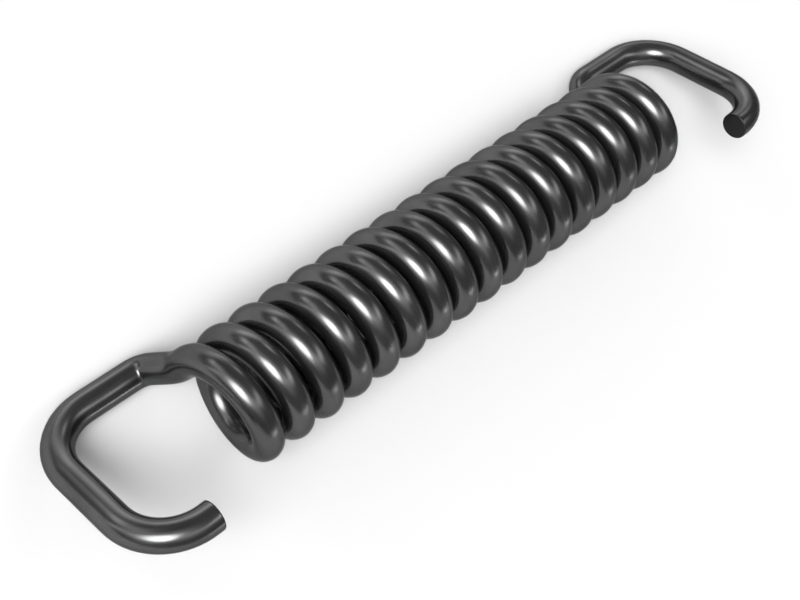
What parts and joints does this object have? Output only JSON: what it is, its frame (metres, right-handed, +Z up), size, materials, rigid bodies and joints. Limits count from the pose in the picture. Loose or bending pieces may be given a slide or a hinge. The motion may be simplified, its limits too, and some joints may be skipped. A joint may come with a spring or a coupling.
{
  "type": "extension spring",
  "caption": "Wound steel extension spring with a square open hook at each end, which pulls back when its hooks are drawn apart.",
  "frame": {"origin": "on the surface the spring lies on, under the middle of its length and its coil's axis", "axes": "+X along the coil's axis from the near hook to the far hook, +Z up, +Y towards the side of the hooks' legs, which rest on the surface"},
  "size_m": [0.0748, 0.0142, 0.0109],
  "materials": {
    "wire": "dark satin, drawn wire"
  },
  "bodies": {
    "root": {"spring": "wire"}
  },
  "joints": []
}
